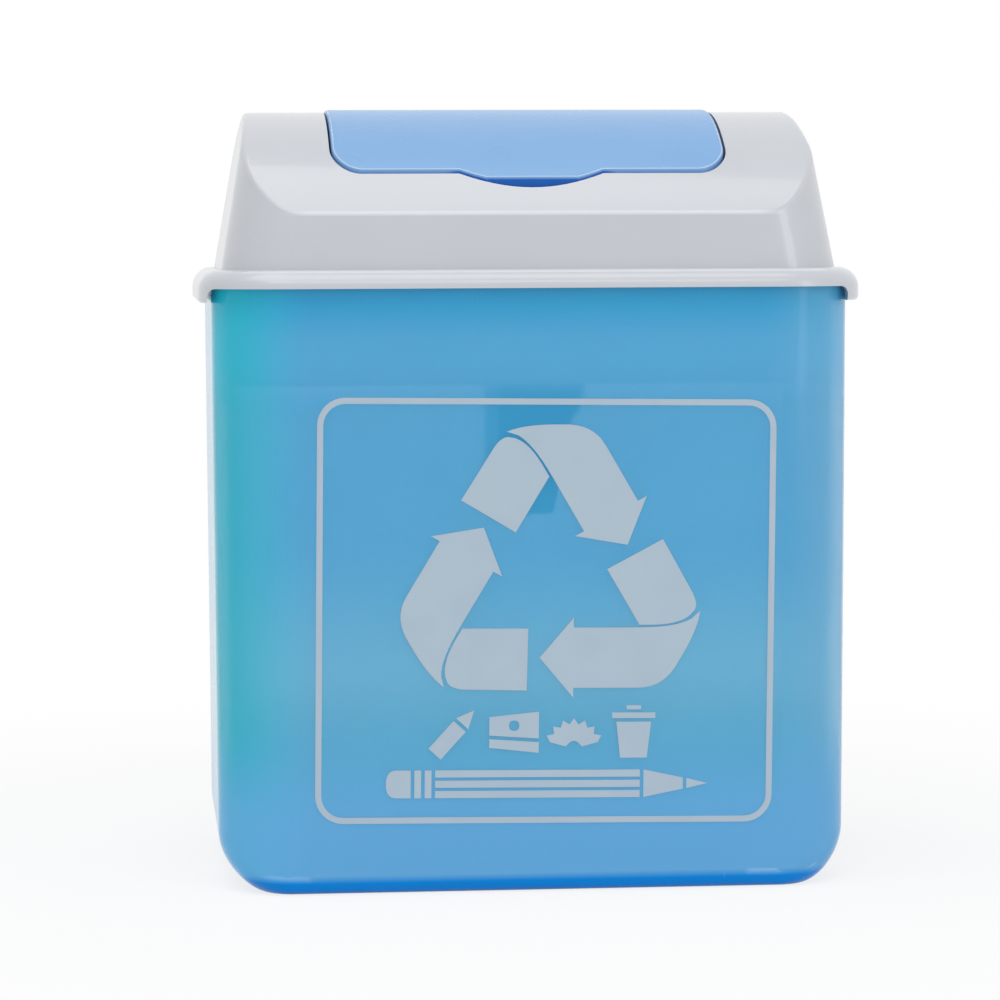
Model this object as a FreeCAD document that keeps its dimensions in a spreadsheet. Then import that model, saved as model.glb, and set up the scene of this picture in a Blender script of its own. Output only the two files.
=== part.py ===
"""Pencil sharpener shaped like a small swing-lid bin.

Frame: millimetres, +Z up, the front faces -Y and +X is to the right when the front is looked at.
The origin is on the table under the middle of the bin.
"""
import FreeCAD, Part
import Sketcher
import math
import os

from FreeCAD import Placement, Rotation, Vector

DIMENSIONS = {
    # tub
    "tub_half_width_top": 31.0,
    "tub_half_width_foot": 30.7,
    "tub_half_depth_top": 21.25,
    "tub_half_depth_foot": 21.0,
    "tub_corner": 7.0,
    "tub_height": 59.0,
    "tub_wall": 1.3,
    "tub_floor": 1.6,
    "tub_side_round": 5.6,
    "tub_foot_round": 1.3,
    "tub_floor_round": 0.8,
    "foot_recess_depth": 0.5,
    "foot_recess_inset": 9.0,
    "foot_recess_corner": 4.0,
    # lid rim and plug skirt
    "rim_half_width": 32.25,
    "rim_half_depth": 22.5,
    "rim_top": 60.1,
    "rim_round": 2.0,
    "lip_front_bottom": 58.3,
    "lip_side_bottom": 56.9,
    "lip_relief_left": 31.45,
    "lip_relief_right": 30.4,
    "lip_relief_round": 0.8,
    "lip_thickness": 0.95,
    "lip_round": 0.4,
    "seat_gap": 0.15,
    "plug_bottom": 49.0,
    "plug_gap": 0.35,
    "plug_wall": 1.2,
    # arched hood of the lid
    "hood_half_width": 30.0,
    "hood_half_depth": 20.3,
    "hood_corner": 6.6,
    "hood_draft": 9.7,
    "hood_wall": 1.5,
    "hood_edge_round": 0.7,
    "crease_level": 65.5,
    "apex_level": 75.6,
    # opening in the hood and the flap that closes it
    "flap_half_width": 19.2,
    "flap_front": -15.9,
    "flap_back": 6.1,
    "flap_corner": 3.0,
    "flap_thickness": 1.4,
    "flap_proud": 0.25,
    "flap_edge_round": 0.4,
    "flap_gap": 0.2,
    "tail_gap": 0.75,
    "notch_half_width": 7.0,
    "notch_depth": 1.35,
    "tongue_reach": 0.8,
    "rib_inset": 1.4,
    "rib_thickness": 1.0,
    "rib_drop": 2.0,
    # hinge of the flap
    "hinge_back": 2.5,
    "hinge_level": 72.9,
    "pin_radius": 0.75,
    "pin_half_length": 22.5,
    "pin_end_round": 0.25,
    "pin_running_gap": 0.06,
    "knuckle_radius": 1.75,
    "knuckle_width": 3.2,
    "knuckle_inset": 0.2,
    "ear_thickness": 2.6,
    "ear_gap": 0.5,
    "ear_half_size": 2.2,
    "press_gap": 0.03,
    # deck under the opening, with the pencil guide, its screws and the collar of the sharpener
    "deck_bottom": 61.6,
    "deck_thickness": 1.4,
    "deck_half_width": 27.0,
    "deck_half_depth": 17.4,
    "deck_corner": 5.0,
    "guide_radius": 4.3,
    "guide_wall": 1.5,
    "guide_top": 65.6,
    "guide_round": 0.5,
    "pencil_right": 2.5,
    "pencil_front": -6.0,
    "collar_depth": 9.0,
    "collar_wall": 1.3,
    "collar_gap": 0.1,
    "window_front": 6.0,
    "window_head": 1.5,
    "screw_right": 22.5,
    "screw_back": 10.5,
    "boss_radius": 2.6,
    "screw_shank_radius": 1.0,
    "screw_head_radius": 1.9,
    "screw_head_height": 1.2,
    "screw_head_round": 0.4,
    "screw_length": 7.0,
    "screw_tip_gap": 0.4,
    "screw_hole_gap": 0.15,
    "screw_slot_width": 0.6,
    "screw_slot_depth": 0.5,
    "screw_cross_reach": 1.15,
    # wedge sharpener
    "block_half_width": 5.6,
    "block_half_depth": 7.5,
    "block_height": 25.4,
    "block_seat_gap": 0.1,
    "block_edge_round": 0.6,
    "groove_radius": 0.6,
    "groove_setback": 0.2,
    "groove_start": 3.0,
    "groove_pitch": 2.6,
    "cone_tip_radius": 0.5,
    "cone_tip_level": 2.0,
    "cone_half_angle": 11.3,
    "cone_length": 18.0,
    "slot_opening": 0.35,
    "blade_length": 23.0,
    "blade_width": 7.2,
    "blade_thickness": 0.6,
    "blade_start": 0.8,
    "blade_bevel": 26.6,
    "blade_hole_gap": 0.2,
    "blade_screw_along": 9.5,
    "blade_screw_across": 3.8,
    "blade_screw_length": 3.6,
}

OVERRUN = 1.0  # how far a cutting form runs past the face that it opens
OVERLAP = 0.1  # how far two joined forms run into each other
FAR = 40.0  # a length that reaches past every side of the part
SIDES = ((-1, "left"), (1, "right"))

document = FreeCAD.newDocument("bin_sharpener")
sheet = document.addObject("Spreadsheet::Sheet", "Dims")
for row, (alias, value) in enumerate(DIMENSIONS.items(), start=1):
    sheet.set(f"A{row}", alias)
    sheet.set(f"B{row}", str(value))
    sheet.setAlias(f"B{row}", alias)
document.recompute()


def size(alias):
    """A driving dimension, read back from the sheet."""
    return float(sheet.get(alias))


def bind(item, prop, formula):
    """Ties a property to the sheet. Names of cells are written bare in the formula."""
    words = []
    for word in formula.split():
        words.append(f"Dims.{word}" if word in DIMENSIONS else word)
    item.setExpression(prop, " ".join(words))


def rounded_outline(sketch, half_width, half_depth, corner):
    """Draws a centred rounded rectangle whose three sizes are formulas on the sheet."""
    wide, deep, arc = 20.0, 12.0, 3.0
    corners = [(wide, -deep, -90), (wide, deep, 0), (-wide, deep, 90), (-wide, -deep, 180)]
    centres = [(x - math.copysign(arc, x), y - math.copysign(arc, y), a) for x, y, a in corners]
    for index, (x, y, start) in enumerate(centres):
        before = centres[index - 1]
        first = math.radians(before[2] + 90)
        last = math.radians(start)
        begin = Vector(before[0] + arc * math.cos(first), before[1] + arc * math.sin(first), 0)
        end = Vector(x + arc * math.cos(last), y + arc * math.sin(last), 0)
        sketch.addGeometry(Part.LineSegment(begin, end), False)
        circle = Part.Circle(Vector(x, y, 0), Vector(0, 0, 1), arc)
        sketch.addGeometry(Part.ArcOfCircle(circle, last, last + math.pi / 2), False)
    for index in range(8):
        sketch.addConstraint(Sketcher.Constraint("Tangent", index, 2, (index + 1) % 8, 1))
    for arc_index in (3, 5, 7):
        sketch.addConstraint(Sketcher.Constraint("Equal", 1, arc_index))
    for flat, wall in ((0, 2), (4, 6)):
        sketch.addConstraint(Sketcher.Constraint("Horizontal", flat))
        sketch.addConstraint(Sketcher.Constraint("Vertical", wall))
    sketch.addConstraint(Sketcher.Constraint("Symmetric", 0, 1, 4, 1, -1, 1))
    named = [
        ("wide", Sketcher.Constraint("DistanceX", 6, 1, 2, 1, 2 * wide), f"2 * ( {half_width} )"),
        ("deep", Sketcher.Constraint("DistanceY", 0, 1, 4, 1, 2 * deep), f"2 * ( {half_depth} )"),
        ("corner", Sketcher.Constraint("Radius", 1, arc), corner),
    ]
    for name, constraint, formula in named:
        index = sketch.addConstraint(constraint)
        sketch.renameConstraint(index, name)
        bind(sketch, f"Constraints.{name}", formula)


def free_outline(name, level, half_width, half_depth, corner):
    """A rounded rectangle that a loft or an extrusion uses."""
    sketch = document.addObject("Sketcher::SketchObject", name)
    bind(sketch, "Placement.Base.z", level)
    rounded_outline(sketch, half_width, half_depth, corner)
    return sketch


def prism(name, bottom, top, half_width, half_depth, corner):
    """An upright rounded block from one level to another."""
    extrusion = document.addObject("Part::Extrusion", name)
    extrusion.Base = free_outline(f"{name}_outline", bottom, half_width, half_depth, corner)
    extrusion.DirMode = "Custom"
    extrusion.Dir = Vector(0, 0, 1)
    extrusion.Solid = True
    bind(extrusion, "LengthFwd", f"( {top} ) - ( {bottom} )")
    return extrusion


def tapered(name, lower, upper, corner):
    """A rounded block whose two ends, each a level and two half sizes, differ in size."""
    loft = document.addObject("Part::Loft", name)
    loft.Sections = [
        free_outline(f"{name}_lower", *lower, corner),
        free_outline(f"{name}_upper", *upper, corner),
    ]
    loft.Solid = True
    loft.Ruled = True
    return loft


def box(name, low, high):
    """A block between two corners, each given as three formulas."""
    block = document.addObject("Part::Box", name)
    for prop, axis, index in (("Length", "x", 0), ("Width", "y", 1), ("Height", "z", 2)):
        bind(block, prop, f"( {high[index]} ) - ( {low[index]} )")
        bind(block, f"Placement.Base.{axis}", low[index])
    return block


def upright(name, radius, centre, bottom, top):
    """An upright cylinder."""
    cylinder = document.addObject("Part::Cylinder", name)
    bind(cylinder, "Radius", radius)
    bind(cylinder, "Height", f"( {top} ) - ( {bottom} )")
    bind(cylinder, "Placement.Base.x", centre[0])
    bind(cylinder, "Placement.Base.y", centre[1])
    bind(cylinder, "Placement.Base.z", bottom)
    return cylinder


def crosswise(name, radius, centre, left, right):
    """A cylinder that lies along X, with its centre given in Y and Z."""
    cylinder = document.addObject("Part::Cylinder", name)
    cylinder.Placement = Placement(Vector(), Rotation(Vector(0, 1, 0), 90))
    bind(cylinder, "Radius", radius)
    bind(cylinder, "Height", f"( {right} ) - ( {left} )")
    bind(cylinder, "Placement.Base.x", left)
    bind(cylinder, "Placement.Base.y", centre[0])
    bind(cylinder, "Placement.Base.z", centre[1])
    return cylinder


def cut(name, base, tool):
    result = document.addObject("Part::Cut", name)
    result.Base = base
    result.Tool = tool
    return result


def common(name, *shapes):
    result = document.addObject("Part::MultiCommon", name)
    result.Shapes = list(shapes)
    return result


def fuse(name, *shapes):
    result = document.addObject("Part::MultiFuse", name)
    result.Shapes = list(shapes)
    result.Refine = True
    return result


def rounded_edges(name, base, radius, chosen):
    """Rounds the edges of a finished form that the test picks out."""
    document.recompute()
    fillet = document.addObject("Part::Fillet", name)
    fillet.Base = base
    picked = [i for i, edge in enumerate(base.Shape.Edges, start=1) if chosen(edge)]
    fillet.Edges = [(i, radius, radius) for i in picked]
    return fillet


def lies_along(axis):
    """Test for straight edges that run along X, Y or Z."""
    direction = {"x": Vector(1, 0, 0), "y": Vector(0, 1, 0), "z": Vector(0, 0, 1)}[axis]

    def test(edge):
        if edge.Curve.TypeId != "Part::GeomLine":
            return False
        return abs(abs(edge.Curve.Direction.dot(direction)) - 1) < 1e-6

    return test


def is_circle(edge):
    """Test for round edges."""
    return edge.Curve.TypeId == "Part::GeomCircle"


def at_level(low, high):
    """Test for edges that lie between two levels."""

    def test(edge):
        bounds = edge.BoundBox
        return bounds.ZMin > low - 1e-4 and bounds.ZMax < high + 1e-4

    return test


def round_foot(name, base, bottom, side_radius, front_radius):
    """Rounds a tub's lower edge, more at its sides than along its front and back."""
    document.recompute()
    fillet = document.addObject("Part::Fillet", name)
    fillet.Base = base
    rounded = []
    for index, edge in enumerate(base.Shape.Edges, start=1):
        if at_level(bottom, bottom)(edge):
            if lies_along("y")(edge):
                radii = (side_radius, side_radius)
            elif lies_along("x")(edge):
                radii = (front_radius, front_radius)
            elif abs(edge.firstVertex().X) > abs(edge.lastVertex().X):
                radii = (side_radius, front_radius)
            else:
                radii = (front_radius, side_radius)
            rounded.append((index, *radii))
    fillet.Edges = rounded
    return fillet


def make_tub():
    """Open tub with a slight draft, a rounded foot and a shallow recess under the floor."""
    walls = tapered(
        "tub_walls_outside", ("0", "tub_half_width_foot", "tub_half_depth_foot"),
        ("tub_height", "tub_half_width_top", "tub_half_depth_top"), "tub_corner",
    )
    outside = round_foot("tub_outside", walls, 0, size("tub_side_round"), size("tub_foot_round"))
    space = tapered(
        "tub_walls_inside", ("tub_floor", "tub_half_width_foot - tub_wall", "tub_half_depth_foot - tub_wall"),
        (f"tub_height + {OVERRUN}", "tub_half_width_top - tub_wall", "tub_half_depth_top - tub_wall"),
        "tub_corner - tub_wall",
    )
    hollow = round_foot(
        "tub_hollow", space, size("tub_floor"), size("tub_side_round") - size("tub_wall"),
        size("tub_floor_round"),
    )
    recess = prism(
        "foot_recess", f"0 - {OVERRUN}", "foot_recess_depth", "tub_half_width_foot - foot_recess_inset",
        "tub_half_depth_foot - foot_recess_inset", "foot_recess_corner",
    )
    return cut("tub", outside, fuse("tub_cuts", hollow, recess))


SLOPE = "tan( hood_draft * 1deg )"
CREASE_HALF_DEPTH = f"( hood_half_depth - ( crease_level - rim_top ) * {SLOPE} )"
ARCH_RISE = "( apex_level - crease_level )"
ARCH_RADIUS = f"( ( {CREASE_HALF_DEPTH} ^ 2 + {ARCH_RISE} ^ 2 ) / ( 2 * {ARCH_RISE} ) )"
ARCH_LEVEL = f"( apex_level - {ARCH_RADIUS} )"
ABOVE = "( apex_level + 2 )"


def arch(name, offset):
    """The cylinder of the hood's vault, grown or shrunk by an offset."""
    radius = f"{ARCH_RADIUS} + ( {offset} )"
    return crosswise(name, radius, ("0", ARCH_LEVEL), f"0 - {FAR}", f"{FAR}")


def drafted_block(name, inset):
    """The hood's leaning walls, before the vault cuts them."""
    lean = f"( {ABOVE} - rim_top ) * {SLOPE}"
    half_width = f"hood_half_width - {inset}"
    half_depth = f"hood_half_depth - {inset}"
    return tapered(
        name,
        ("rim_top", half_width, half_depth),
        (ABOVE, f"{half_width} - {lean}", f"{half_depth} - {lean}"),
        f"hood_corner - {inset}",
    )


NOTCH_RADIUS = "( ( notch_half_width ^ 2 + notch_depth ^ 2 ) / ( 2 * notch_depth ) )"
OPENING_FRONT = "( flap_front - flap_gap )"
NOTCH_CENTRE = f"( {OPENING_FRONT} - notch_depth + {NOTCH_RADIUS} )"


def flap_plan(name, grow, front, back, notch_reach):
    """Upright prism with the flap's outline: round front corners and the bulge of the finger notch."""
    half = f"( flap_half_width + {grow} )"
    slab = box(f"{name}_slab", (f"0 - {half}", front, "deck_bottom"), (half, back, ABOVE))
    corners = rounded_edges(
        f"{name}_corners", slab, size("flap_corner"),
        lambda edge: lies_along("z")(edge) and edge.BoundBox.YMax < 0,
    )
    disc_radius = f"{NOTCH_RADIUS} - flap_gap + {grow}"
    disc = upright(f"{name}_disc", disc_radius, ("0", NOTCH_CENTRE), "deck_bottom", ABOVE)
    strip = box(
        f"{name}_strip", ("0 - notch_half_width - flap_corner", notch_reach, "deck_bottom"),
        ("notch_half_width + flap_corner", "flap_front + flap_corner", ABOVE),
    )
    bulge = common(f"{name}_bulge", disc, strip)
    return fuse(name, corners, bulge)


def make_rim():
    """Rim that sits on the tub's brim, with a curled lip that is lower at the two sides."""
    rim_corner = "tub_corner + rim_half_width - tub_half_width_top"
    block = prism(
        "rim_block", "lip_side_bottom", "rim_top", "rim_half_width", "rim_half_depth", rim_corner
    )
    top = size("rim_top")
    bottom = size("lip_side_bottom")
    foot = rounded_edges("rim_foot", block, size("lip_round"), at_level(bottom, bottom))
    form = rounded_edges("rim_form", foot, size("rim_round"), at_level(top, top))
    under = prism(
        "under_rim", f"lip_side_bottom - {OVERRUN}", "tub_height + seat_gap",
        "rim_half_width - lip_thickness", "rim_half_depth - lip_thickness", "tub_corner",
    )
    relief_block = box(
        "lip_relief_block", ("0 - lip_relief_left", f"0 - {FAR}", "plug_bottom"),
        ("lip_relief_right", f"{FAR}", "lip_front_bottom"),
    )
    relief = rounded_edges(
        "lip_relief", relief_block, size("lip_relief_round"),
        lambda edge: lies_along("y")(edge) and edge.BoundBox.ZMin > size("plug_bottom"),
    )
    return cut("rim_trimmed", cut("rim", form, under), relief)


def make_lid_mounts(side, name):
    """Hinge ear and screw boss of one side, and the screw's pilot hole."""
    under_vault = "0 - hood_wall / 2"
    near = "( flap_half_width + flap_gap + ear_gap )"
    far = f"( {near} + ear_thickness )"
    low_x, high_x = (f"0 - {far}", f"0 - {near}") if side < 0 else (near, far)
    ear_block = box(
        f"{name}_ear_block", (low_x, "hinge_back - ear_half_size", "hinge_level - ear_half_size"),
        (high_x, "hinge_back + ear_half_size", ABOVE),
    )
    ear = common(f"{name}_ear", ear_block, arch(f"{name}_ear_vault", under_vault))
    place = (f"{side} * screw_right", "screw_back")
    post = upright(f"{name}_boss_post", "boss_radius", place, "deck_bottom + deck_thickness", ABOVE)
    boss = common(f"{name}_boss", post, arch(f"{name}_boss_vault", under_vault))
    pilot_radius = "screw_shank_radius + press_gap"
    pilot = upright(f"{name}_pilot", pilot_radius, place, "deck_bottom", "deck_bottom + screw_length")
    return ear, boss, pilot


def make_lid():
    """White lid: vaulted hood, rim with a curled lip, plug skirt, hinge ears and screw bosses."""
    hood_form = common("hood_form", drafted_block("hood_block", "0"), arch("hood_vault", "0"))
    from_crease_up = at_level(size("crease_level") - size("hood_edge_round"), size("apex_level"))
    hood = rounded_edges("hood", hood_form, size("hood_edge_round"), from_crease_up)
    plug_half_width = "tub_half_width_top - tub_wall - plug_gap"
    plug_half_depth = "tub_half_depth_top - tub_wall - plug_gap"
    plug_corner = "tub_corner - tub_wall"
    plug_outside = prism(
        "plug_outside", "plug_bottom", "rim_top", plug_half_width, plug_half_depth, plug_corner
    )
    plug_inside = prism(
        "plug_inside", f"plug_bottom - {OVERRUN}", f"rim_top + {OVERRUN}", f"{plug_half_width} - plug_wall",
        f"{plug_half_depth} - plug_wall", f"{plug_corner} - plug_wall",
    )
    inner_vault = arch("inner_vault", "0 - hood_wall")
    hood_inside = common("hood_inside", drafted_block("hood_inside_block", "hood_wall"), inner_vault)
    outside = fuse("lid_outside", hood, make_rim(), plug_outside)
    additions = [cut("lid_walls", outside, fuse("lid_hollow", plug_inside, hood_inside))]
    pin_reach = f"pin_half_length + {OVERLAP}"
    holes = [
        crosswise(
            "pin_seat", "pin_radius + press_gap", ("hinge_back", "hinge_level"),
            f"0 - ( {pin_reach} )", pin_reach,
        )
    ]
    for side, name in SIDES:
        ear, boss, pilot = make_lid_mounts(side, name)
        additions += [ear, boss]
        holes.append(pilot)
    opening = flap_plan(
        "opening", "flap_gap", OPENING_FRONT, "flap_back + tail_gap",
        f"{OPENING_FRONT} - notch_depth - {OVERRUN}",
    )
    below = box(
        "below_opening", (f"0 - {FAR}", f"0 - {FAR}", "0"),
        (f"{FAR}", f"{FAR}", f"deck_bottom + deck_thickness + {OVERRUN}"),
    )
    holes.append(cut("clear_opening", opening, below))
    return cut("lid", fuse("lid_with_mounts", *additions), fuse("lid_cuts", *holes))


def make_flap():
    """Curved flap with a finger tongue, a stiffening rib and two hinge knuckles."""
    plan = flap_plan("flap_plan", "0", "flap_front", "flap_back", "flap_front - tongue_reach")
    outer = arch("flap_outer", "flap_proud")
    inner = arch("flap_inner", "flap_proud - flap_thickness")
    panel = cut("flap_panel", common("flap_crust", plan, outer), inner)
    proud = size("flap_proud")
    vault_level = size("crease_level")
    edge_match = 1e-3

    def on_top(edge):
        middle = edge.valueAt((edge.FirstParameter + edge.LastParameter) / 2)
        reach = math.hypot(middle.y, middle.z - arch_centre)
        return middle.z > vault_level and abs(reach - arch_radius - proud) < edge_match

    document.recompute()
    arch_radius = outer.Radius.Value - proud
    arch_centre = outer.Placement.Base.z
    smooth_panel = rounded_edges("flap_smooth", panel, size("flap_edge_round"), on_top)
    inset = "( flap_half_width - rib_inset )"
    rib_front = "( flap_front + rib_inset )"
    rib_outside = box("rib_outside", (f"0 - {inset}", rib_front, "deck_bottom"), (inset, "0", ABOVE))
    rib_inside = box(
        "rib_inside", (f"0 - {inset} + rib_thickness", f"{rib_front} + rib_thickness", "0"),
        (f"{inset} - rib_thickness", f"{FAR}", ABOVE),
    )
    rib_band = cut(
        "rib_band", arch("rib_top", "flap_proud - flap_thickness / 2"),
        arch("rib_foot", "flap_proud - flap_thickness - rib_drop"),
    )
    rib = common("flap_rib", cut("rib_wall", rib_outside, rib_inside), rib_band)
    pieces = [smooth_panel, rib]
    for side, name in SIDES:
        outer_x = f"{side} * ( flap_half_width - knuckle_inset )"
        inner_x = f"{side} * ( flap_half_width - knuckle_inset - knuckle_width )"
        low_x, high_x = (outer_x, inner_x) if side < 0 else (inner_x, outer_x)
        eye = crosswise(f"{name}_eye", "knuckle_radius", ("hinge_back", "hinge_level"), low_x, high_x)
        neck_block = box(
            f"{name}_neck_block", (low_x, "hinge_back - knuckle_radius", "hinge_level"),
            (high_x, "hinge_back + knuckle_radius", ABOVE),
        )
        neck_top = arch(f"{name}_neck_top", "flap_proud - flap_thickness / 2")
        neck = common(f"{name}_neck", neck_block, neck_top)
        pieces += [eye, neck]
    bore = crosswise(
        "knuckle_bore", "pin_radius + pin_running_gap", ("hinge_back", "hinge_level"),
        f"0 - {FAR}", f"{FAR}",
    )
    return cut("flap", fuse("flap_with_knuckles", *pieces), bore)


def make_pin():
    """Steel hinge pin with rounded ends."""
    wire = crosswise(
        "pin_wire", "pin_radius", ("hinge_back", "hinge_level"), "0 - pin_half_length", "pin_half_length"
    )
    return rounded_edges("pin", wire, size("pin_end_round"), is_circle)


PENCIL = ("pencil_right", "pencil_front")
BLOCK_TOP = "( deck_bottom - block_seat_gap )"
BLOCK_BOTTOM = f"( {BLOCK_TOP} - block_height )"
CONE_MOUTH = "cone_tip_radius + cone_length * tan( cone_half_angle * 1deg )"


def around_pencil(name, half_width, half_depth, bottom, top):
    """A block centred on the pencil's axis."""
    low = (f"pencil_right - ( {half_width} )", f"pencil_front - ( {half_depth} )", bottom)
    high = (f"pencil_right + ( {half_width} )", f"pencil_front + ( {half_depth} )", top)
    return box(name, low, high)


def make_deck():
    """Deck under the opening: a plate with the pencil guide on it."""
    top = "deck_bottom + deck_thickness"
    plate = prism("deck_plate", "deck_bottom", top, "deck_half_width", "deck_half_depth", "deck_corner")
    guide = upright("guide_tube", "guide_radius + guide_wall", PENCIL, "deck_bottom", "guide_top")
    guide_top = size("guide_top")
    smooth_guide = rounded_edges(
        "smooth_guide", guide, size("guide_round"), at_level(guide_top, guide_top)
    )
    hole_bottom = f"deck_bottom - {OVERRUN}"
    cuts = [upright("pencil_hole", "guide_radius", PENCIL, hole_bottom, f"guide_top + {OVERRUN}")]
    for side, name in SIDES:
        place = (f"{side} * screw_right", "screw_back")
        hole_radius = "screw_shank_radius + screw_hole_gap"
        cuts.append(upright(f"{name}_deck_hole", hole_radius, place, hole_bottom, f"{top} + {OVERRUN}"))
    return cut("deck", fuse("deck_form", plate, smooth_guide), fuse("deck_cuts", *cuts))


def make_collar():
    """Collar under the deck that grips the sharpener, with a window where the blade throws its chips."""
    bottom = "deck_bottom - collar_depth"
    inner = ("block_half_width + collar_gap", "block_half_depth + collar_gap")
    outer = [f"{half} + collar_wall" for half in inner]
    outside = around_pencil("collar_outside", *outer, bottom, "deck_bottom")
    inside = around_pencil("collar_inside", *inner, f"{bottom} - {OVERRUN}", f"deck_bottom + {OVERRUN}")
    window = box(
        "chip_window",
        ("pencil_right", "pencil_front - window_front", f"{bottom} - {OVERRUN}"),
        (f"pencil_right + {outer[0]} + {OVERRUN}", f"pencil_front + {inner[1]}", "deck_bottom - window_head"),
    )
    return cut("collar", outside, fuse("collar_cuts", inside, window))


def make_deck_screw(side, name):
    """Small cross-slot screw that goes up through the deck into one of the lid's bosses."""
    place = (f"{side} * screw_right", "screw_back")
    head_bottom = "deck_bottom - screw_head_height"
    tip = "deck_bottom + screw_length - screw_tip_gap"
    shank = upright(f"{name}_shank", "screw_shank_radius", place, "deck_bottom", tip)
    head = upright(f"{name}_head", "screw_head_radius", place, head_bottom, "deck_bottom")
    face = size("deck_bottom") - size("screw_head_height")
    smooth_head = rounded_edges(
        f"{name}_smooth_head", head, size("screw_head_round"), at_level(face, face)
    )
    slots = []
    for turn, across, along in (
        ("a", "screw_head_radius", "screw_slot_width / 2"),
        ("b", "screw_slot_width / 2", "screw_head_radius"),
    ):
        low = (f"{place[0]} - {across}", f"{place[1]} - {along}", f"{head_bottom} - {OVERRUN}")
        high = (f"{place[0]} + {across}", f"{place[1]} + {along}", f"{head_bottom} + screw_slot_depth")
        slots.append(box(f"{name}_slot_{turn}", low, high))
    reach = upright(
        f"{name}_cross_reach", "screw_cross_reach", place, f"{head_bottom} - {OVERRUN}", "deck_bottom"
    )
    cross = common(f"{name}_cross", fuse(f"{name}_slots", *slots), reach)
    return cut(f"{name}_screw", fuse(f"{name}_screw_form", shank, smooth_head), cross)


def make_deck_screws():
    """Two small screws that hold the deck up against the lid's bosses."""
    pair = document.addObject("Part::Compound", "deck_screw_pair")
    pair.Links = [make_deck_screw(side, name) for side, name in SIDES]
    return pair


def blade_place(along, across, lift):
    """Placement on the slanted blade face: along the blade, across it, and out from the face."""
    angle = size("cone_half_angle")
    turn = Rotation(Vector(0, 1, 0), angle)
    bottom = size("deck_bottom") - size("block_seat_gap") - size("block_height")
    reach = size("cone_tip_radius") / math.cos(math.radians(angle)) - size("slot_opening")
    corner = Vector(size("pencil_right") + reach, size("pencil_front"), bottom + size("cone_tip_level"))
    return Placement(corner + turn.multVec(Vector(lift, across, along)), turn)


GROOVES = 4


def make_block():
    """Wedge sharpener: tapered pencil hole, slanted blade face and grip grooves."""
    blank = around_pencil("block_blank", "block_half_width", "block_half_depth", BLOCK_BOTTOM, BLOCK_TOP)
    smooth = rounded_edges("block_smooth", blank, size("block_edge_round"), lies_along("z"))
    cone = document.addObject("Part::Cone", "pencil_cone")
    bind(cone, "Radius1", "cone_tip_radius")
    bind(cone, "Radius2", CONE_MOUTH)
    bind(cone, "Height", "cone_length")
    bind(cone, "Placement.Base.x", PENCIL[0])
    bind(cone, "Placement.Base.y", PENCIL[1])
    bind(cone, "Placement.Base.z", f"{BLOCK_BOTTOM} + cone_tip_level")
    cone_bottom = f"{BLOCK_BOTTOM} + cone_tip_level"
    tip_hole = upright(
        "tip_hole", "cone_tip_radius", PENCIL, f"{BLOCK_BOTTOM} - {OVERRUN}", f"{cone_bottom} + {OVERRUN}"
    )
    entry = upright(
        "pencil_entry", CONE_MOUTH, PENCIL, f"{cone_bottom} + cone_length - {OVERLAP}",
        f"{BLOCK_TOP} + {OVERRUN}",
    )
    face_cut = document.addObject("Part::Box", "blade_face_cut")
    face_cut.Length, face_cut.Width, face_cut.Height = FAR, 2 * FAR, 2 * FAR
    face_cut.Placement = blade_place(-FAR, -FAR, 0)
    screw_hole = document.addObject("Part::Cylinder", "blade_screw_hole")
    bind(screw_hole, "Radius", "screw_shank_radius + press_gap")
    bind(screw_hole, "Height", "blade_screw_length + screw_tip_gap")
    screw_hole.Placement = blade_screw_place(0.0)
    tools = [cone, tip_hole, entry, face_cut, screw_hole]
    for side, name in ((-1, "front"), (1, "back")):
        axis_y = f"pencil_front + {side} * ( block_half_depth + groove_setback )"
        for step in range(GROOVES):
            level = f"{BLOCK_BOTTOM} + groove_start + {step} * groove_pitch"
            label = f"{name}_groove_{step}"
            tools.append(crosswise(label, "groove_radius", (axis_y, level), f"0 - {FAR}", f"{FAR}"))
    return cut("block", smooth, fuse("block_cuts", *tools))


def blade_screw_place(lift):
    """Axis of the blade's screw, pointing into the block from the blade face."""
    seat = blade_place(size("blade_screw_along"), size("blade_screw_across"), lift)
    into = seat.Rotation.multiply(Rotation(Vector(0, 1, 0), -90))
    return Placement(seat.Base, into)


def make_blade():
    """Flat steel blade with a bevelled edge and a screw hole."""
    plate = document.addObject("Part::Box", "blade_plate")
    bind(plate, "Length", "blade_thickness")
    bind(plate, "Width", "blade_width")
    bind(plate, "Height", "blade_length")
    plate.Placement = blade_place(size("blade_start"), 0, 0)
    bevel = document.addObject("Part::Box", "blade_bevel")
    reach = size("blade_width") / 2
    bevel.Length, bevel.Width, bevel.Height = reach, reach, FAR
    edge_place = blade_place(-FAR / 4, 0, 0)
    turn = edge_place.Rotation.multiply(Rotation(Vector(0, 0, 1), -size("blade_bevel")))
    bevel.Placement = Placement(edge_place.Base + turn.multVec(Vector(0, -reach / 2, 0)), turn)
    hole = document.addObject("Part::Cylinder", "blade_hole")
    bind(hole, "Radius", "screw_shank_radius + blade_hole_gap")
    bind(hole, "Height", f"blade_thickness + 2 * {OVERRUN}")
    hole.Placement = blade_screw_place(size("blade_thickness") + OVERRUN)
    return cut("blade_form", plate, fuse("blade_cuts", bevel, hole))


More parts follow.
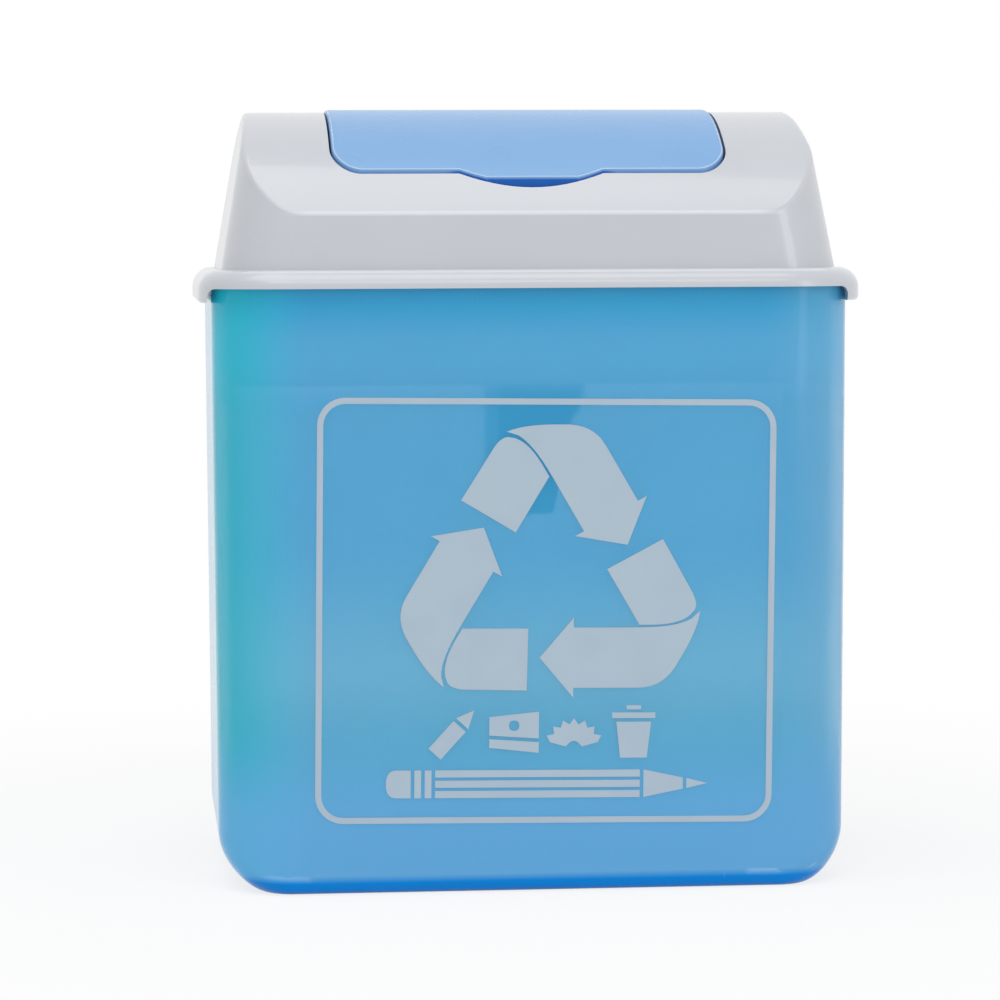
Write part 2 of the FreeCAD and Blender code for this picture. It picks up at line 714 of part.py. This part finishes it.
def make_blade_screw():
    """Pan-head screw that clamps the blade."""
    thickness = size("blade_thickness")
    shank = document.addObject("Part::Cylinder", "blade_shank")
    bind(shank, "Radius", "screw_shank_radius")
    bind(shank, "Height", "blade_screw_length + blade_thickness")
    shank.Placement = blade_screw_place(thickness)
    head = document.addObject("Part::Cylinder", "blade_screw_head")
    bind(head, "Radius", "screw_head_radius")
    bind(head, "Height", "screw_head_height")
    head.Placement = blade_screw_place(thickness + size("screw_head_height"))
    slot = document.addObject("Part::Box", "blade_screw_slot")
    length, width = 4 * size("screw_head_radius"), size("screw_slot_width")
    slot.Length, slot.Width, slot.Height = length, width, size("screw_slot_depth")
    face = blade_screw_place(thickness + size("screw_head_height"))
    corner = face.Rotation.multVec(Vector(-length / 2, -width / 2, 0))
    slot.Placement = Placement(face.Base + corner, face.Rotation)
    return cut("blade_screw_form", fuse("blade_screw_blank", shank, head), slot)


SUB_PARTS = {
    "bin_body": make_tub(),
    "lid_shell": make_lid(),
    "flap": make_flap(),
    "hinge_pin": make_pin(),
    "sharpener_deck": make_deck(),
    "block_collar": make_collar(),
    "deck_screws": make_deck_screws(),
    "sharpener_block": make_block(),
    "blade": make_blade(),
    "blade_screw": make_blade_screw(),
}
for label, item in SUB_PARTS.items():
    item.Label = label
document.recompute()

for item in document.Objects:
    if "Invalid" in item.State or "Error" in item.State:
        raise RuntimeError(f"{item.Name} ({item.Label}) failed: {item.State}")
for label, item in SUB_PARTS.items():
    if item.Shape.isNull() or not item.Shape.isValid():
        raise RuntimeError(f"{label} has no valid shape")

os.makedirs("parts", exist_ok=True)
for label, item in SUB_PARTS.items():
    item.Shape.exportStep(f"parts/{label}.step")
    bounds = item.Shape.BoundBox
    print(
        f"{label}: {len(item.Shape.Solids)} solids, {item.Shape.Volume:.0f} mm3, "
        f"x {bounds.XMin:.2f} to {bounds.XMax:.2f}, y {bounds.YMin:.2f} to {bounds.YMax:.2f}, "
        f"z {bounds.ZMin:.2f} to {bounds.ZMax:.2f}"
    )
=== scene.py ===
"""Small bin that holds a hand pencil sharpener: finishes, front print, camera and light."""

import math

import bmesh
import bpy
from mathutils import Matrix, Vector


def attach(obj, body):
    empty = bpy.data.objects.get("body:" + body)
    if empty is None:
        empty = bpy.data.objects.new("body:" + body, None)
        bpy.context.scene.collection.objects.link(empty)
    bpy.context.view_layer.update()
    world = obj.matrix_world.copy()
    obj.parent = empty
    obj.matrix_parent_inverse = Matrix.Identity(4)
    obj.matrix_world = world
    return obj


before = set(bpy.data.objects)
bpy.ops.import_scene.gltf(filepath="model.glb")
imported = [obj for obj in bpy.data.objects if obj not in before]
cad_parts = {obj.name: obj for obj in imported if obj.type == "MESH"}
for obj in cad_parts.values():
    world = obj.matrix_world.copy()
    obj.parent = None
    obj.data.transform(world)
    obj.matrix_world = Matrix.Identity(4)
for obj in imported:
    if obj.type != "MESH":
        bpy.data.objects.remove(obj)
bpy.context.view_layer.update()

MM = 0.001


class Field:
    """A shader value that takes part in ordinary arithmetic."""

    def __init__(self, shading, socket):
        self.shading = shading
        self.socket = socket

    def maths(self, operation, first, second):
        return self.shading.node("ShaderNodeMath", {"operation": operation}, {0: first, 1: second})

    def __add__(self, other):
        return self.maths("ADD", self, other)

    def __sub__(self, other):
        return self.maths("SUBTRACT", self, other)

    def __rsub__(self, other):
        return self.maths("SUBTRACT", other, self)

    def __mul__(self, other):
        return self.maths("MULTIPLY", self, other)

    def at_least(self, other):
        return self.maths("MAXIMUM", self, other)

    __radd__ = __add__
    __rmul__ = __mul__


class Shading:
    """A node tree with the few kinds of pattern that the finishes share."""

    def __init__(self, tree):
        self.tree = tree

    def node(self, kind, settings=None, sockets=None, output=0):
        made = self.tree.nodes.new(kind)
        for name, value in (settings or {}).items():
            setattr(made, name, value)
        for key, value in (sockets or {}).items():
            self.feed(made.inputs[key], value)
        return Field(self, made.outputs[output])

    def feed(self, socket, value):
        if isinstance(value, Field):
            self.tree.links.new(value.socket, socket)
        else:
            socket.default_value = value

    def place(self, stretch=(1.0, 1.0, 1.0), shift=(0.0, 0.0, 0.0)):
        where = self.node("ShaderNodeTexCoord", output="Object")
        sockets = {"Vector": where, "Scale": stretch, "Location": shift}
        return self.node("ShaderNodeMapping", sockets=sockets)

    def along(self, axis):
        return self.node("ShaderNodeSeparateXYZ", sockets={0: self.place()}, output=axis)

    def reach(self, stretch=(1.0, 1.0, 1.0), shift=(0.0, 0.0, 0.0)):
        """How far a place is from the origin, once it is stretched and shifted."""
        sockets = {0: self.place(stretch, shift)}
        return self.node("ShaderNodeVectorMath", {"operation": "LENGTH"}, sockets, "Value")

    def noise(self, grain, detail=2.0, stretch=(1.0, 1.0, 1.0)):
        """Noise whose lumps are about one grain across."""
        sockets = {"Vector": self.place(stretch), "Scale": 1.0 / grain, "Detail": detail}
        return self.node("ShaderNodeTexNoise", sockets=sockets)

    def ramp(self, value, start, end):
        """0 where the value is at start, 1 where it is at end, eased between them."""
        sockets = {"Value": value, "From Min": start, "From Max": end}
        return self.node("ShaderNodeMapRange", {"interpolation_type": "SMOOTHSTEP"}, sockets)

    def blend(self, share, first, second):
        sockets = {"Factor": share, 6: first, 7: second}
        return self.node("ShaderNodeMix", {"data_type": "RGBA"}, sockets, output=2)


class Finish(Shading):
    """A material with one main shader, which may show another through it."""

    def __init__(self, name, **constants):
        self.material = bpy.data.materials.new(name)
        self.material.use_nodes = True
        super().__init__(self.material.node_tree)
        self.shader = self.tree.nodes["Principled BSDF"]
        self.set(**constants)

    def set(self, **values):
        """Sockets by name, such as base_color or coat_weight."""
        for name, value in self.sockets(values).items():
            self.feed(self.shader.inputs[name], value)

    @staticmethod
    def sockets(values):
        named = {}
        for name, value in values.items():
            named[name.replace("_", " ").title().replace("Ior", "IOR")] = value
        return named

    def principled(self, **values):
        """A second shader of the same kind."""
        return self.node("ShaderNodeBsdfPrincipled", sockets=self.sockets(values))

    def relief(self, height, depth):
        """Bump of a real depth, from a height of 0 to 1."""
        sockets = {"Strength": 1.0, "Distance": depth, "Height": height}
        self.set(normal=self.node("ShaderNodeBump", sockets=sockets))

    def mix_in(self, share, other):
        """Shows another shader in place of the main one, by a share of 0 to 1."""
        main = Field(self, self.shader.outputs[0])
        mixed = self.node("ShaderNodeMixShader", sockets={0: share, 1: main, 2: other})
        self.feed(self.tree.nodes["Material Output"].inputs["Surface"], mixed)


def srgb(red, green, blue):
    """A colour as a screen shows it, 0 to 255, as linear light with full alpha."""
    def linear(level):
        part = level / 255.0
        return part / 12.92 if part <= 0.04045 else ((part + 0.055) / 1.055) ** 2.4
    return (linear(red), linear(green), linear(blue), 1.0)


# Plastics

PEEL_GRAIN = 1.1 * MM
PEEL_DEPTH = 6e-6
MOTTLE_GRAIN = 9 * MM
SCUFF_GRAIN = 0.4 * MM


def moulded(finish, gloss):
    """Moulded plastic's faint orange peel, uneven gloss and fine handling scuffs."""
    peel = finish.noise(PEEL_GRAIN, detail=3.0)
    mottle = finish.noise(MOTTLE_GRAIN, detail=2.0)
    scuffs = finish.ramp(finish.noise(SCUFF_GRAIN, 4.0, (1.0, 1.0, 0.2)), 0.68, 0.78)
    finish.set(roughness=gloss + (mottle - 0.5) * 0.10 + scuffs * 0.08)
    finish.relief(peel - scuffs * 0.2, PEEL_DEPTH)
    return mottle, scuffs


CLEAR_SHARE = 0.5
# Milkier top of the tub: painted light that lifts the shade under the rim
TOP_PAINTED_LIGHT_CLOUD = 0.12
FOOT_CLOUD = 0.30
# Milkier bottom edge, under the painted shade there
BRINK_SHADE_CLOUD = 0.20
# Milkier front left corner, under the painted teal reflection there
CORNER_REFLECTION_CLOUD = 0.15
TUB_SHINE = {"ior": 1.45, "specular_ior_level": 0.15, "specular_tint": srgb(228, 230, 228)}
TUB_BLUE = (srgb(62, 194, 254), srgb(70, 200, 255))
# Tints over the blue: most are painted light, painted reflections and painted shade; the foot tint only
# makes the bottom paler
TUB_TINTS = {
    # Painted light: a paler band that lifts the shade behind the plug skirt
    "plug_painted_light": (0.6, srgb(116, 204, 255)),
    # Painted reflection: paler over the lower part
    "lower_reflection": (0.65, srgb(124, 220, 255)),
    # Painted reflection: teal at the front left corner
    "left": (0.9, srgb(38, 214, 236)),
    # Painted reflection: a lighter band at the right
    "right": (0.55, srgb(124, 206, 250)),
    "foot": (0.8, srgb(112, 184, 240)),
    # Painted shade: a darker blue along the bottom edge
    "brink_shade": (1.0, srgb(0, 138, 222)),
}


def tub_zones(finish):
    """Where the tub's tints lie, each 0 to 1, from the millimetres at which it starts and is full."""
    across = finish.along("X")
    ahead = finish.along("Y")
    up = finish.along("Z")

    def zone(value, start, full):
        return finish.ramp(value, start * MM, full * MM)

    return {
        # Painted light: the top and the band in front of the plug
        "top": zone(up, 46, 52),
        "plug_painted_light": zone(up, 47, 50) - zone(up, 53, 57),
        # Painted reflection: the lower part
        "lower_reflection": zone(up, 34, 20),
        # Painted reflection: the front left corner
        "left": zone(across, -21, -31) * zone(ahead, 8, -20),
        # Painted reflection: the right side
        "right": zone(across, 21, 28.5),
        "foot": zone(up, 18, 6),
        # Painted shade: the bottom edge
        "brink_shade": zone(up, 2.0, 1.05),
    }


def tub_plastic():
    """Milky blue plastic: part of the light scatters in the blue, the rest shows the inside."""
    finish = Finish("translucent_blue_plastic", **TUB_SHINE)
    mottle, scuffs = moulded(finish, 0.14)
    zones = tub_zones(finish)
    colour = finish.blend(mottle, *TUB_BLUE)
    # Lays on the tints, which paint light, reflections and shade, and a paler foot
    for name, (share, tint) in TUB_TINTS.items():
        colour = finish.blend(zones[name] * share, colour, tint)
    finish.set(base_color=finish.blend(scuffs * 0.08, colour, srgb(190, 220, 240)))
    tint = finish.blend(mottle, srgb(246, 250, 252), srgb(252, 254, 255))
    clear = finish.principled(base_color=tint, transmission_weight=1.0, roughness=0.12, **TUB_SHINE)
    # The clouds make the tub milkier at the foot, and also under the painted shade at the bottom edge,
    # the painted reflection at the left corner and the painted light at the top
    low_cloud = zones["foot"] * FOOT_CLOUD + zones["brink_shade"] * BRINK_SHADE_CLOUD
    cloud = low_cloud + zones["left"] * CORNER_REFLECTION_CLOUD + zones["top"] * TOP_PAINTED_LIGHT_CLOUD
    finish.mix_in((CLEAR_SHARE - cloud).at_least(0.0), clear)
    return finish.material


# Heights of the painted highlight lines on the lid
CREASE_LEVEL = 65.45 * MM
RIM_LINE_LEVEL = 59.9 * MM


def lid_plastic():
    """White, with a painted highlight along the crease and along the top of the rim."""
    finish = Finish("white_plastic", ior=1.49, coat_weight=0.5, coat_roughness=0.08)
    mottle, scuffs = moulded(finish, 0.30)
    aside = finish.reach((1.0, 0.0, 0.0))
    ahead = finish.reach((0.0, 1.0, 0.0))
    off_crease = finish.reach((0.0, 0.0, 1.0), (0.0, 0.0, -CREASE_LEVEL))
    off_rim_line = finish.reach((0.0, 0.0, 1.0), (0.0, 0.0, -RIM_LINE_LEVEL))
    crease = finish.ramp(off_crease, 0.30 * MM, 0.10 * MM) * finish.ramp(aside, 25 * MM, 21 * MM)
    rim_line = finish.ramp(off_rim_line, 0.16 * MM, 0.06 * MM)
    on_hood = finish.ramp(ahead, 17 * MM, 18 * MM)
    on_rim = finish.ramp(ahead, 20 * MM, 20.4 * MM)
    # Painted highlight: a paler line along the crease and the top of the rim
    painted_highlight = crease * on_hood + rim_line * on_rim
    white = finish.blend(mottle, srgb(196, 200, 207), srgb(202, 205, 211))
    highlighted_white = finish.blend(painted_highlight * 0.5, white, srgb(238, 240, 243))
    finish.set(base_color=finish.blend(scuffs * 0.06, highlighted_white, srgb(188, 192, 198)))
    return finish.material


VAULT_AXIS = 51.96 * MM
FLAP_SKIN = 23.89 * MM
FLAP_THICKNESS = 1.4 * MM


def flap_plastic():
    """Light blue outside, with a painted highlight along the rounded rim and a deeper blue in the cut
    edge between the two skins, partly its own colour and partly painted shade.
    """
    finish = Finish("light_blue_plastic", ior=1.49, specular_ior_level=0.3)
    mottle, scuffs = moulded(finish, 0.28)
    depth = FLAP_SKIN - finish.reach((0.0, 1.0, 1.0), (0.0, 0.0, -VAULT_AXIS))
    edge = finish.ramp(depth, 0.1 * MM, 0.3 * MM)
    # Painted highlight: a pale line where the rounded rim begins
    painted_highlight = finish.ramp(depth, 0.025 * MM, 0.04 * MM) - finish.ramp(depth, 0.07 * MM, 0.09 * MM)
    inside = finish.ramp(depth, FLAP_THICKNESS - 0.1 * MM, FLAP_THICKNESS)
    tongue = finish.ramp(finish.reach((1.0, 0.0, 0.0)), 8.5 * MM, 7 * MM)
    blue = finish.blend(mottle, srgb(128, 174, 222), srgb(136, 180, 227))
    highlighted_blue = finish.blend(painted_highlight * 0.6, blue, srgb(226, 238, 252))
    # Deeper blue in the cut edge: partly the thick translucent edge's own colour, partly painted shade,
    # strongest under the tongue where the notch lies in shade
    edge_shaded = finish.blend((edge - inside) * (0.35 + tongue * 0.65), highlighted_blue, srgb(8, 100, 196))
    finish.set(base_color=finish.blend(scuffs * 0.06, edge_shaded, srgb(196, 216, 238)))
    return finish.material


def deck_plastic():
    finish = Finish("deep_blue_plastic", ior=1.49)
    mottle, scuffs = moulded(finish, 0.34)
    blue = finish.blend(mottle, srgb(16, 98, 184), srgb(24, 110, 196))
    finish.set(base_color=finish.blend(scuffs * 0.15, blue, srgb(110, 160, 210)))
    return finish.material


def block_plastic():
    finish = Finish("blue_block_plastic", ior=1.49)
    mottle, scuffs = moulded(finish, 0.36)
    blue = finish.blend(mottle, srgb(6, 72, 165), srgb(12, 82, 178))
    finish.set(base_color=finish.blend(scuffs * 0.15, blue, srgb(110, 160, 210)))
    return finish.material


INK_RELIEF = 4e-6


def print_ink():
    finish = Finish("white_screen_print", ior=1.45)
    coverage = finish.noise(0.25 * MM, detail=3.0)
    flow = finish.noise(4 * MM)
    finish.set(base_color=finish.blend(flow, srgb(174, 193, 209), srgb(184, 201, 214)))
    finish.set(roughness=0.42 + coverage * 0.12)
    finish.relief(coverage, INK_RELIEF)
    return finish.material


# Metals

MARK_GRAIN = 0.12 * MM
MARK_DEPTH = 6e-6
STAIN_GRAIN = 2.5 * MM


def brushed_metal(name, tone, lines, roughness):
    """Metal with fine working marks; lines is the stretch of the marks along each axis."""
    finish = Finish(name, metallic=1.0)
    marks = finish.noise(MARK_GRAIN, 3.0, lines)
    stain = finish.noise(STAIN_GRAIN, 3.0)
    darker = tuple(part * 0.72 for part in tone[:3]) + (1.0,)
    finish.set(base_color=finish.blend(marks * 0.6 + stain * 0.3, tone, darker))
    finish.set(roughness=roughness + (stain - 0.5) * 0.14)
    finish.relief(marks, MARK_DEPTH)
    return finish.material


def pin_steel():
    return brushed_metal("drawn_steel_wire", srgb(196, 198, 202), (0.04, 1.0, 1.0), 0.24)


def screw_steel():
    return brushed_metal("turned_screw_steel", srgb(188, 190, 194), (1.0, 1.0, 0.3), 0.30)


def blade_steel():
    return brushed_metal("ground_blade_steel", srgb(206, 208, 212), (1.0, 0.05, 1.0), 0.20)


NODE_FINISHES = {
    "bin_body": tub_plastic,
    "lid_shell": lid_plastic,
    "flap": flap_plastic,
    "sharpener_deck": deck_plastic,
    "block_collar": deck_plastic,
    "hinge_pin": pin_steel,
    "deck_screws": screw_steel,
    "blade_screw": screw_steel,
    "sharpener_block": block_plastic,
    "blade": blade_steel,
}


def dress_nodes():
    """Gives every solid of the frame the finish of its material."""
    made = {}
    for node, finish in NODE_FINISHES.items():
        if finish not in made:
            made[finish] = finish()
        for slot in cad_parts[node].material_slots:
            slot.material = made[finish]


# Print on the front wall, drawn upright in millimetres and then laid on the wall

WALL_FOOT_DEPTH = 21.0
WALL_TOP_DEPTH = 21.25
WALL_HEIGHT = 59.0
INK_GAP = 0.02
INK_THICKNESS = 0.04
ARC_STEPS = 8
SAME_POINT = 1e-4
PRINT_MIDDLE = (0.76, 0, 27.2)
PRINT_TURN = math.radians(0.7)


def lay_on_front_wall(drawing, place):
    """Gives a flat drawing in X and Z its thickness and its place on the drafted wall."""
    bmesh.ops.remove_doubles(drawing, verts=drawing.verts[:], dist=SAME_POINT)
    grown = bmesh.ops.extrude_face_region(drawing, geom=drawing.faces[:])["geom"]
    outer = [part for part in grown if isinstance(part, bmesh.types.BMVert)]
    bmesh.ops.translate(drawing, verts=outer, vec=(0, -INK_THICKNESS, 0))
    bmesh.ops.translate(drawing, verts=drawing.verts[:], vec=(place[0], 0, place[1]))
    turn = Matrix.Rotation(PRINT_TURN, 3, "Y")
    bmesh.ops.rotate(drawing, verts=drawing.verts[:], cent=PRINT_MIDDLE, matrix=turn)
    draft = (WALL_TOP_DEPTH - WALL_FOOT_DEPTH) / WALL_HEIGHT
    lean = Matrix.Identity(4)
    lean[1][2] = -draft
    lean[1][3] = -WALL_FOOT_DEPTH - INK_GAP
    bmesh.ops.transform(drawing, matrix=Matrix.Scale(MM, 4) @ lean, verts=drawing.verts[:])
    bmesh.ops.recalc_face_normals(drawing, faces=drawing.faces[:])
    bmesh.ops.triangulate(drawing, faces=drawing.faces[:])


def printed(name, drawing, ink, place):
    """A piece of ink that rides on the tub, from a drawing and the place of its middle."""
    lay_on_front_wall(drawing, place)
    mesh = bpy.data.meshes.new(name)
    drawing.to_mesh(mesh)
    drawing.free()
    piece = bpy.data.objects.new(name, mesh)
    bpy.context.scene.collection.objects.link(piece)
    mesh.materials.append(ink)
    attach(piece, "tub")


def bend(start, corner, end):
    """Points of a smooth bend from start to end that leans towards the corner."""
    points = []
    for step in range(ARC_STEPS + 1):
        share = step / ARC_STEPS
        first = Vector(start).lerp(Vector(corner), share)
        points.append(first.lerp(Vector(corner).lerp(Vector(end), share), share))
    return points


def outline_face(drawing, points, turn=0.0, place=(0.0, 0.0)):
    """A flat face in X and Z from points of an outline, turned about the origin and then moved."""
    spin = Matrix.Rotation(turn, 2)
    corners = [spin @ Vector(point) + Vector(place) for point in points]
    drawing.faces.new([drawing.verts.new((spot.x, 0, spot.y)) for spot in corners])


def bar(drawing, low, high, turn=0.0, place=(0.0, 0.0)):
    """A rectangle between two corners."""
    outline_face(drawing, [low, (high[0], low[1]), high, (low[0], high[1])], turn, place)


FRAME_HALF_WIDTH = 22.15
FRAME_HALF_HEIGHT = 20.5
FRAME_CORNER = 2.7
FRAME_LINE = 0.6


def frame_line():
    """A closed line with rounded corners."""
    drawing = bmesh.new()
    bmesh.ops.create_grid(drawing, x_segments=1, y_segments=1, size=1)
    half_size = (FRAME_HALF_WIDTH, FRAME_HALF_HEIGHT, 1)
    bmesh.ops.scale(drawing, verts=drawing.verts[:], vec=half_size)
    bmesh.ops.rotate(drawing, verts=drawing.verts[:], matrix=Matrix.Rotation(math.pi / 2, 3, "X"))
    bmesh.ops.bevel(drawing, geom=drawing.verts[:], offset=FRAME_CORNER, affect="VERTICES",
                    segments=ARC_STEPS, profile=0.5, material=-1)
    middle = drawing.faces[:]
    bmesh.ops.inset_region(drawing, faces=middle, thickness=FRAME_LINE, use_boundary=True)
    bmesh.ops.delete(drawing, geom=middle, context="FACES")
    return drawing


BAND_INNER = 4.9
BAND_OUTER = 10.75
BARB = 0.95
HEAD_TIP = -0.95
HEAD_BASE = 2.25
FOLD_TIP = (14.2, -3.3)
RETURN_GAP = 0.25
TURNS = 3
ARROWS_STRETCH = 1.026


def chasing_arrows():
    """Three folded arrows that follow each other round a triangle."""
    drawing = bmesh.new()
    middle = -(BAND_INNER + BAND_OUTER) / 2
    long_band = [
        (HEAD_TIP, middle), (HEAD_BASE, -BAND_OUTER - BARB), (HEAD_BASE, -BAND_OUTER),
        *bend((8.4, -BAND_OUTER), (10.9, -BAND_OUTER), (12.2, -8.2)),
        *bend((12.2, -8.2), (14.0, -5.2), FOLD_TIP),
        *bend((13.4, -4.05), (12.0, -4.9), (8.4, -BAND_INNER)),
        (HEAD_BASE, -BAND_INNER), (HEAD_BASE, -BAND_INNER + BARB),
    ]
    short_band = [
        (5.35, 0.73), (8.45, -BAND_INNER + RETURN_GAP),
        *bend((9.2, -BAND_INNER + RETURN_GAP), (12.2, -4.7), (13.3, -3.65)),
        *bend((13.5, -3.4), (14.1, -2.9), (13.5, -1.6)), (10.6, 3.65),
    ]
    for turn in range(TURNS):
        angle = turn * 2 * math.pi / TURNS
        outline_face(drawing, long_band, angle)
        outline_face(drawing, short_band, angle)
    bmesh.ops.scale(drawing, verts=drawing.verts[:], vec=(ARROWS_STRETCH, 1, 1))
    return drawing


def pencil_sign(drawing, place):
    """A slanted pencil with its point set off by a gap."""
    slant = math.radians(-42)
    bar(drawing, (-0.8, -2.8), (0.8, 0.8), slant, place)
    outline_face(drawing, [(-0.8, 1.15), (0.8, 1.15), (0.0, 2.9)], slant, place)


def sharpener_sign(drawing, place):
    """A wedge sharpener from above, with its blade's edge and the hole of the blade's screw."""
    outline_face(drawing, [(-2.4, -1.5), (2.4, -2.0), (2.4, -0.95), (-2.4, -0.65)], place=place)
    for side, low, high in ((-1, -0.3, 1.5), (1, -0.6, 2.0)):
        outline_face(drawing, [
            (0, -0.45), *bend((0, 0.15), (side * 0.5, 0.15), (side * 0.5, 0.65)),
            *bend((side * 0.5, 0.65), (side * 0.5, 1.15), (0, 1.15)),
            (0, 1.75), (side * 2.4, high), (side * 2.4, low),
        ], place=place)


TEETH = 7
FAN_START = math.radians(15)
FAN_SWEEP = math.radians(150)


def shaving_sign(drawing, place):
    """A fan of shaved wood with a toothed rim."""
    def around(radius, share):
        angle = FAN_START + FAN_SWEEP * share
        return (radius * math.cos(angle), radius * math.sin(angle) - 1.6)

    outline = []
    for tooth in range(TEETH):
        outline += [around(2.4, tooth / TEETH), around(2.95, (tooth + 0.5) / TEETH)]
    outline += [around(2.4, 1.0), *bend(around(0.8, 1.0), around(1.3, 0.5), around(0.8, 0.0))]
    outline_face(drawing, outline, place=place)


def bin_sign(drawing, place):
    """A bin with its lid."""
    outline_face(drawing, [(-1.3, -2.5), (1.3, -2.5), (1.7, 1.0), (-1.7, 1.0)], place=place)
    bar(drawing, (-2.1, 1.35), (2.1, 1.9), place=place)
    bar(drawing, (-0.7, 2.2), (0.7, 2.6), place=place)


SIGN_PITCH = 5.8


def sign_row():
    """Four small signs side by side: what goes in and what stays behind."""
    drawing = bmesh.new()
    signs = (pencil_sign, sharpener_sign, shaving_sign, bin_sign)
    for place, sign in enumerate(signs):
        sign(drawing, ((place - (len(signs) - 1) / 2) * SIGN_PITCH, 0))
    return drawing


BARREL_HALF = 1.35
BARREL_FACE = 0.7
BARREL_FACES = 3
FERRULE_BANDS = 2


def long_pencil():
    """A long pencil that lies on its side: eraser, ferrule, barrel faces, wood and lead."""
    drawing = bmesh.new()
    outline_face(drawing, [
        (-13.2, -BARREL_HALF), (-13.2, BARREL_HALF),
        *bend((-14.6, BARREL_HALF), (-15.6, BARREL_HALF), (-15.6, 0)),
        *bend((-15.6, 0), (-15.6, -BARREL_HALF), (-14.6, -BARREL_HALF)),
    ])
    for band in range(FERRULE_BANDS):
        left = -12.85 + band
        bar(drawing, (left, -BARREL_HALF), (left + 0.65, BARREL_HALF))
    step = (2 * BARREL_HALF - BARREL_FACE) / (BARREL_FACES - 1)
    for face in range(BARREL_FACES):
        low = -BARREL_HALF + face * step
        bar(drawing, (-10.85, low), (9.0, low + BARREL_FACE))
    outline_face(drawing, [(9.35, -BARREL_HALF), (13.2, -0.55), (13.2, 0.55), (9.35, BARREL_HALF)])
    outline_face(drawing, [(13.55, -0.5), (15.6, 0), (13.55, 0.5)])
    return drawing


FRAME_PLACE = (0.76, 27.2)
ARROWS_PLACE = (1.13, 30.55)
SIGNS_PLACE = (0.65, 15.5)
PENCIL_PLACE = (1.0, 10.5)


def print_front():
    ink = print_ink()
    printed("print_frame_line", frame_line(), ink, FRAME_PLACE)
    printed("print_chasing_arrows", chasing_arrows(), ink, ARROWS_PLACE)
    printed("print_sign_row", sign_row(), ink, SIGNS_PLACE)
    printed("print_long_pencil", long_pencil(), ink, PENCIL_PLACE)


# Camera, floor and light

CAMERA_AZIMUTH = -5.45
CAMERA_ELEVATION = 3.96
CAMERA_ROLL = -0.23
CAMERA_DISTANCE = 380 * MM
CAMERA_AIM = Vector((-3.56, -20.0, 37.91)) * MM
FOCAL_PIXELS = 3951
IMAGE_PIXELS = 1000
SENSOR = 36.0
CLIP_START = 10 * MM


def add_camera():
    azimuth = math.radians(-CAMERA_AZIMUTH)
    elevation = math.radians(CAMERA_ELEVATION)
    roll = math.radians(CAMERA_ROLL)
    ahead = Vector((math.sin(azimuth) * math.cos(elevation),
                    math.cos(azimuth) * math.cos(elevation), -math.sin(elevation)))
    turn = ahead.to_track_quat("-Z", "Y").to_matrix() @ Matrix.Rotation(roll, 3, "Z")
    data = bpy.data.cameras.new("photo_camera")
    data.sensor_width = SENSOR
    data.lens = FOCAL_PIXELS * SENSOR / IMAGE_PIXELS
    data.clip_start = CLIP_START
    camera = bpy.data.objects.new("photo_camera", data)
    camera.matrix_world = Matrix.Translation(CAMERA_AIM - ahead * CAMERA_DISTANCE) @ turn.to_4x4()
    bpy.context.scene.collection.objects.link(camera)
    bpy.context.scene.camera = camera


def seen_directly(shading):
    """1 for rays that show the backdrop itself: to the camera, in gloss and through glass."""
    shows = ("Is Camera Ray", "Is Glossy Ray", "Is Transmission Ray")
    rays = [shading.node("ShaderNodeLightPath", output=name) for name in shows]
    return rays[0].at_least(rays[1]).at_least(rays[2])


AMBIENT = 0.55
FLOOR_SIZE = 6.0
FLOOR_GLOW = 0.80
FLOOR_FADE = (0.06, 0.16)


def add_world():
    world = bpy.data.worlds.new("soft_white_room")
    world.use_nodes = True
    bpy.context.scene.world = world
    room = Shading(world.node_tree)
    output = world.node_tree.nodes["World Output"]
    dim = room.node("ShaderNodeBackground", sockets={"Color": (1, 1, 1, 1), "Strength": AMBIENT})
    white = room.node("ShaderNodeBackground", sockets={"Color": (1, 1, 1, 1), "Strength": 1.0})
    mixed = room.node("ShaderNodeMixShader", sockets={0: seen_directly(room), 1: dim, 2: white})
    room.feed(output.inputs["Surface"], mixed)


def add_floor():
    shape = bmesh.new()
    bmesh.ops.create_grid(shape, x_segments=1, y_segments=1, size=FLOOR_SIZE / 2)
    mesh = bpy.data.meshes.new("white_table")
    shape.to_mesh(mesh)
    shape.free()
    floor = bpy.data.objects.new("white_table", mesh)
    bpy.context.scene.collection.objects.link(floor)
    finish = Finish("white_table_top", base_color=(0.93, 0.93, 0.93, 1), roughness=0.9)
    finish.set(specular_ior_level=0.0)
    glow = finish.node("ShaderNodeEmission", sockets={"Color": (1, 1, 1, 1), "Strength": 1.0})
    white = FLOOR_GLOW + finish.ramp(finish.reach(), *FLOOR_FADE) * (1 - FLOOR_GLOW)
    finish.mix_in(seen_directly(finish) * white, glow)
    mesh.materials.append(finish.material)


LAMPS = {
    "key_softbox": ((-0.15, -0.15, 0.95), (0.7, 0.7), 3.0),
    "crease_card": ((-0.08, -0.62, 0.78), (0.6, 0.10), 0.8),
    "right_strip": ((0.62, -0.75, 0.30), (0.25, 0.9), 1.6),
}


LIT_MIDDLE = Vector((0, 0, 40)) * MM


def add_lamps():
    for name, (place, (width, height), watts) in LAMPS.items():
        data = bpy.data.lights.new(name, "AREA")
        data.shape = "RECTANGLE"
        data.size = width
        data.size_y = height
        data.energy = watts
        lamp = bpy.data.objects.new(name, data)
        lamp.location = place
        lamp.rotation_euler = (LIT_MIDDLE - Vector(place)).to_track_quat("-Z", "Y").to_euler()
        bpy.context.scene.collection.objects.link(lamp)


dress_nodes()
print_front()
add_camera()
add_world()
add_floor()
add_lamps()
bpy.context.scene.view_settings.view_transform = "Standard"
